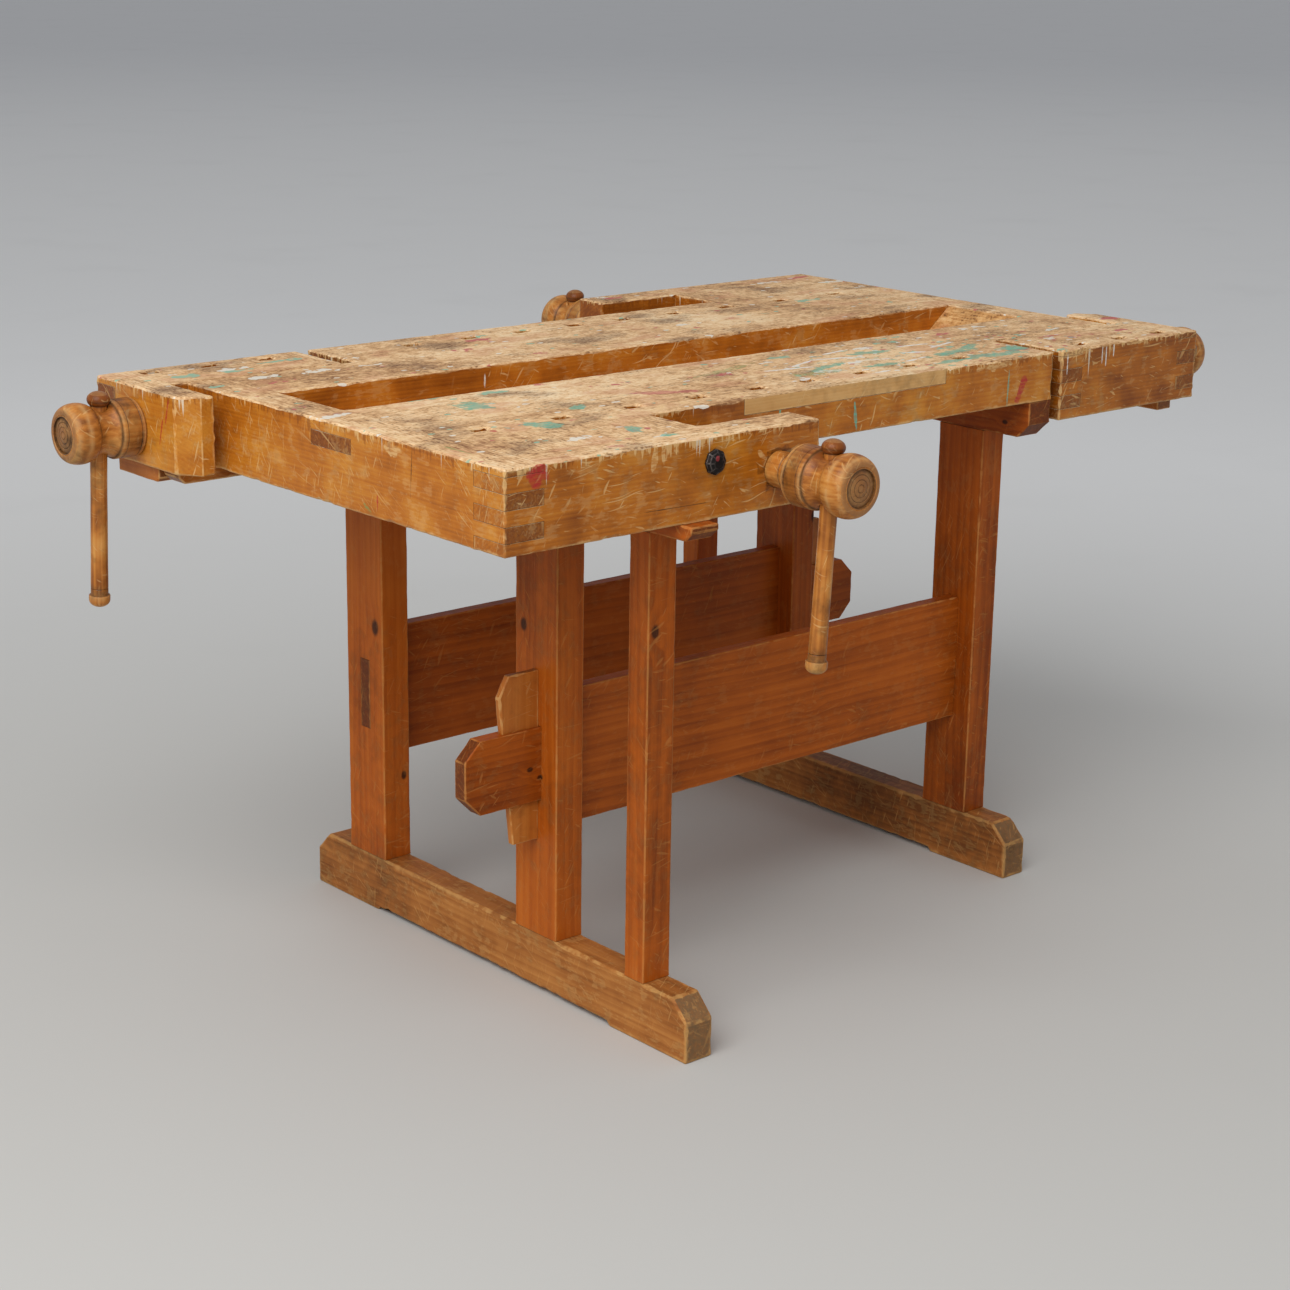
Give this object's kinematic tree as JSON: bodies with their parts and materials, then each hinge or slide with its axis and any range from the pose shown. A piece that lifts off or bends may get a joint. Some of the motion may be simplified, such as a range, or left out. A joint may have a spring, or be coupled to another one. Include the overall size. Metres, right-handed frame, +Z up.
{
  "type": "woodworking bench",
  "caption": "Double-sided wooden workbench with a tool tray, dog holes, a shoulder vise and a tail vise with wooden screws at each side, on wedged trestles.",
  "frame": {"origin": "on the floor below the middle of the bench", "axes": "+X along the bench's length, towards the front worker's right hand; +Y across it, away from the front worker; +Z up"},
  "size_m": [1.7222, 1.2266, 0.8],
  "materials": {
    "worn_top": "worn bare wood",
    "varnished": "old golden varnish, scratched",
    "trestle_pine": "dark varnish",
    "foot_pine": "worn varnish",
    "turned_beech": "polished by hands",
    "wedge_wood": "thin varnish",
    "pale_repair": "newer wood, thin varnish",
    "black_iron": "blackened"
  },
  "bodies": {
    "frame": {"left_foot": "foot_pine", "left_far_post": "trestle_pine", "left_near_post": "trestle_pine", "left_vise_post": "trestle_pine", "left_top_rail": "trestle_pine", "left_end_cap": "varnished", "left_tray_ramp": "worn_top", "right_foot": "foot_pine", "right_far_post": "trestle_pine", "right_near_post": "trestle_pine", "right_vise_post": "trestle_pine", "right_top_rail": "trestle_pine", "right_end_cap": "varnished", "right_tray_ramp": "worn_top", "front_stretcher": "trestle_pine", "front_wedge": "wedge_wood", "front_plank": "worn_top", "front_dog_strip": "worn_top", "front_shoulder_arm": "varnished", "front_shoulder_spacer": "worn_top", "front_tie_screw": "black_iron", "front_tail_nut": "varnished", "back_stretcher": "trestle_pine", "back_wedge": "wedge_wood", "back_plank": "worn_top", "back_dog_strip": "worn_top", "back_shoulder_arm": "varnished", "back_shoulder_spacer": "worn_top", "back_tie_screw": "black_iron", "back_tail_nut": "varnished", "tray_floor": "worn_top", "front_edge_repair": "pale_repair"},
    "front_tail_vise": {"front_tail_board": "varnished", "front_tail_jaw": "varnished", "front_tail_head": "varnished", "front_tail_cover": "worn_top", "front_tail_cleat": "wedge_wood", "front_tail_runner": "varnished", "front_tail_key": "wedge_wood"},
    "front_tail_screw": {"front_tail_screw": "turned_beech"},
    "front_tail_bar": {"front_tail_bar": "turned_beech", "front_tail_knob": "turned_beech"},
    "front_shoulder_pad": {"front_shoulder_pad": "varnished"},
    "front_shoulder_screw": {"front_shoulder_screw": "turned_beech"},
    "front_shoulder_bar": {"front_shoulder_bar": "turned_beech", "front_shoulder_knob": "turned_beech"},
    "back_tail_vise": {"back_tail_board": "varnished", "back_tail_jaw": "varnished", "back_tail_head": "varnished", "back_tail_cover": "worn_top", "back_tail_cleat": "wedge_wood", "back_tail_runner": "varnished", "back_tail_key": "wedge_wood"},
    "back_tail_screw": {"back_tail_screw": "turned_beech"},
    "back_tail_bar": {"back_tail_bar": "turned_beech", "back_tail_knob": "turned_beech"},
    "back_shoulder_pad": {"back_shoulder_pad": "varnished"},
    "back_shoulder_screw": {"back_shoulder_screw": "turned_beech"},
    "back_shoulder_bar": {"back_shoulder_bar": "turned_beech", "back_shoulder_knob": "turned_beech"}
  },
  "joints": [
    {"name": "front_tail_travel", "type": "slide", "parent": "frame", "child": "front_tail_vise", "axis": [1, 0, 0], "range_m": [-0.0195, 0.13]},
    {"name": "front_tail_turn", "type": "hinge", "parent": "front_tail_vise", "child": "front_tail_screw", "pos_m": [0.76, -0.232, 0.745], "axis": [1, 0, 0], "range_deg": [-702, 4680]},
    {"name": "front_tail_bar_slide", "type": "slide", "parent": "front_tail_screw", "child": "front_tail_bar", "axis": [0, -0.9511, 0.309], "range_m": [0, 0.186]},
    {"name": "front_shoulder_travel", "type": "slide", "parent": "frame", "child": "front_shoulder_pad", "axis": [0, -1, 0], "range_m": [-0.0395, 0.022]},
    {"name": "front_shoulder_turn", "type": "hinge", "parent": "front_shoulder_pad", "child": "front_shoulder_screw", "pos_m": [-0.265, -0.512, 0.745], "axis": [0, -1, 0], "range_deg": [-1420, 790]},
    {"name": "front_shoulder_bar_slide", "type": "slide", "parent": "front_shoulder_screw", "child": "front_shoulder_bar", "axis": [0.061, 0, 0.9981], "range_m": [0, 0.186]},
    {"name": "back_tail_travel", "type": "slide", "parent": "frame", "child": "back_tail_vise", "axis": [-1, 0, 0], "range_m": [-0.0195, 0.13]},
    {"name": "back_tail_turn", "type": "hinge", "parent": "back_tail_vise", "child": "back_tail_screw", "pos_m": [-0.76, 0.232, 0.745], "axis": [-1, 0, 0], "range_deg": [-702, 4680]},
    {"name": "back_tail_bar_slide", "type": "slide", "parent": "back_tail_screw", "child": "back_tail_bar", "axis": [0, -0.075, 0.9972], "range_m": [0, 0.186]},
    {"name": "back_shoulder_travel", "type": "slide", "parent": "frame", "child": "back_shoulder_pad", "axis": [0, 1, 0], "range_m": [-0.0395, 0.022]},
    {"name": "back_shoulder_turn", "type": "hinge", "parent": "back_shoulder_pad", "child": "back_shoulder_screw", "pos_m": [0.265, 0.512, 0.745], "axis": [0, 1, 0], "range_deg": [-1420, 790]},
    {"name": "back_shoulder_bar_slide", "type": "slide", "parent": "back_shoulder_screw", "child": "back_shoulder_bar", "axis": [-0.061, 0, 0.9981], "range_m": [0, 0.186]}
  ],
  "couplings": [
    {"joint": "front_tail_travel", "follows": "front_tail_turn", "m_per_rad": 0.0015915},
    {"joint": "front_shoulder_travel", "follows": "front_shoulder_turn", "m_per_rad": 0.0015915},
    {"joint": "back_tail_travel", "follows": "back_tail_turn", "m_per_rad": 0.0015915},
    {"joint": "back_shoulder_travel", "follows": "back_shoulder_turn", "m_per_rad": 0.0015915}
  ]
}
